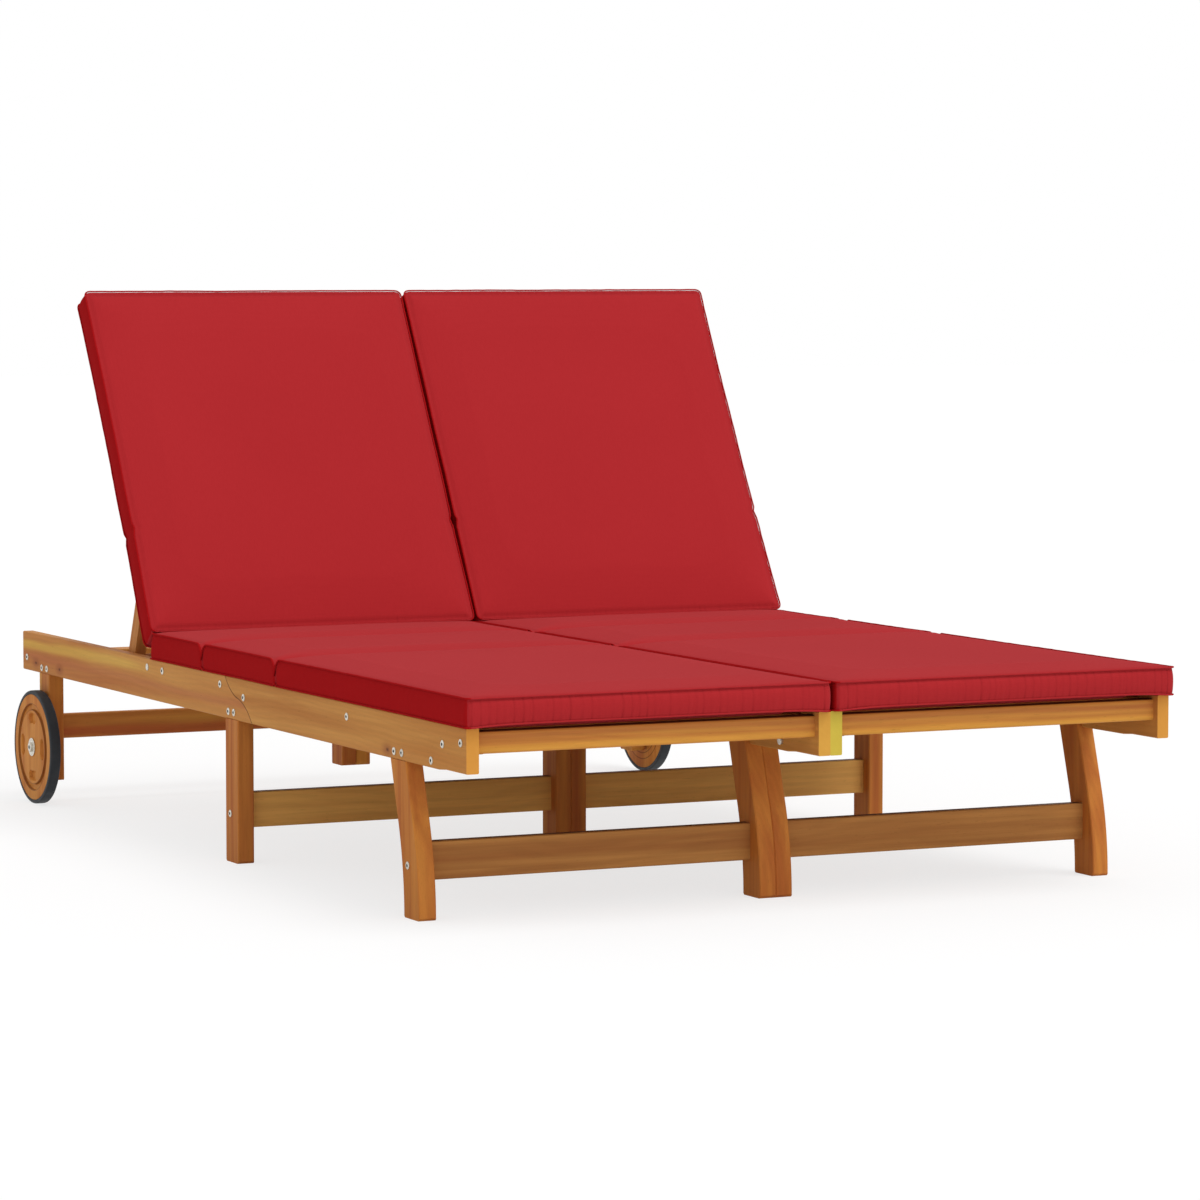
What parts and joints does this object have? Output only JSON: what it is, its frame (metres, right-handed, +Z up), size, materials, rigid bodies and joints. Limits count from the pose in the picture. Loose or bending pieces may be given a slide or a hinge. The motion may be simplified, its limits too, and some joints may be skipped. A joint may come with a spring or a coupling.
{
  "type": "double chaise lounger",
  "caption": "Two joined slatted wooden loungers on curved legs and wheels, each with its own reclining backrest on a folding prop and a channelled cushion.",
  "frame": {"origin": "on the ground, under the middle of the whole lounger", "axes": "+Z up, +Y towards the head end with the backrests and wheels, +X across to the right when seen from the foot end"},
  "size_m": [1.2594, 1.99, 0.9254],
  "materials": {
    "wood": "oiled hardwood, honey brown with darker streaks",
    "wheel_wood": "oiled hardwood, red brown",
    "tyre": "matt dark rubber",
    "steel": "zinc plated",
    "fabric": "fine woven outdoor fabric, deep red"
  },
  "bodies": {
    "frame": {"outer_rail_front_left": "wood", "outer_rail_rear_left": "wood", "front_leg_outer_left": "wood", "middle_leg_outer_left": "wood", "rear_leg_outer_left": "wood", "inner_rail_front_left": "wood", "inner_rail_rear_left": "wood", "front_leg_inner_left": "wood", "middle_leg_inner_left": "wood", "rear_leg_inner_left": "wood", "front_stretcher_left": "wood", "middle_stretcher_left": "wood", "rear_stretcher_left": "wood", "front_bar_left": "wood", "head_bar_left": "wood", "seat_slats_left": "wood", "hinge_bolts_left": "steel", "seat_cushion_left": "fabric", "outer_rail_front_right": "wood", "outer_rail_rear_right": "wood", "front_leg_outer_right": "wood", "middle_leg_outer_right": "wood", "rear_leg_outer_right": "wood", "inner_rail_front_right": "wood", "inner_rail_rear_right": "wood", "front_leg_inner_right": "wood", "middle_leg_inner_right": "wood", "rear_leg_inner_right": "wood", "front_stretcher_right": "wood", "middle_stretcher_right": "wood", "rear_stretcher_right": "wood", "front_bar_right": "wood", "head_bar_right": "wood", "seat_slats_right": "wood", "hinge_bolts_right": "steel", "seat_cushion_right": "fabric", "seat_tie_bars": "wood", "seat_battens": "wood", "notched_racks": "wood", "hinge_cheeks": "wood", "axle_bolts": "steel", "rail_screws": "steel", "leg_bolts": "steel", "joining_bolts": "steel"},
    "backrest_left": {"backrest_stiles_left": "wood", "backrest_slats_left": "wood", "prop_bolts_left": "steel", "back_cushion_left": "fabric"},
    "prop_left": {"prop_legs_left": "wood", "prop_tie_left": "wood"},
    "wheel_left": {"wheel_disc_left": "wheel_wood", "wheel_tyre_left": "tyre"},
    "backrest_right": {"backrest_stiles_right": "wood", "backrest_slats_right": "wood", "prop_bolts_right": "steel", "back_cushion_right": "fabric"},
    "prop_right": {"prop_legs_right": "wood", "prop_tie_right": "wood"},
    "wheel_right": {"wheel_disc_right": "wheel_wood", "wheel_tyre_right": "tyre"}
  },
  "joints": [
    {"name": "backrest_tilt_left", "type": "hinge", "parent": "frame", "child": "backrest_left", "pos_m": [-0.3, 0.343, 0.289], "axis": [1, 0, 0], "range_deg": [-60.4, 0]},
    {"name": "prop_fold_left", "type": "hinge", "parent": "backrest_left", "child": "prop_left", "pos_m": [-0.3, 0.43061, 0.42095], "axis": [1, 0, 0], "range_deg": [0, 120.8]},
    {"name": "wheel_spin_left", "type": "hinge", "parent": "frame", "child": "wheel_left", "pos_m": [-0.6139, 0.88, 0.1025], "axis": [1, 0, 0], "continuous": true},
    {"name": "backrest_tilt_right", "type": "hinge", "parent": "frame", "child": "backrest_right", "pos_m": [0.3, 0.343, 0.289], "axis": [1, 0, 0], "range_deg": [-60.4, 0]},
    {"name": "prop_fold_right", "type": "hinge", "parent": "backrest_right", "child": "prop_right", "pos_m": [0.3, 0.43061, 0.42095], "axis": [1, 0, 0], "range_deg": [0, 120.8]},
    {"name": "wheel_spin_right", "type": "hinge", "parent": "frame", "child": "wheel_right", "pos_m": [0.6139, 0.88, 0.1025], "axis": [1, 0, 0], "continuous": true}
  ],
  "couplings": [
    {"joint": "prop_fold_left", "follows": "backrest_tilt_left", "ratio": -2},
    {"joint": "prop_fold_right", "follows": "backrest_tilt_right", "ratio": -2}
  ]
}
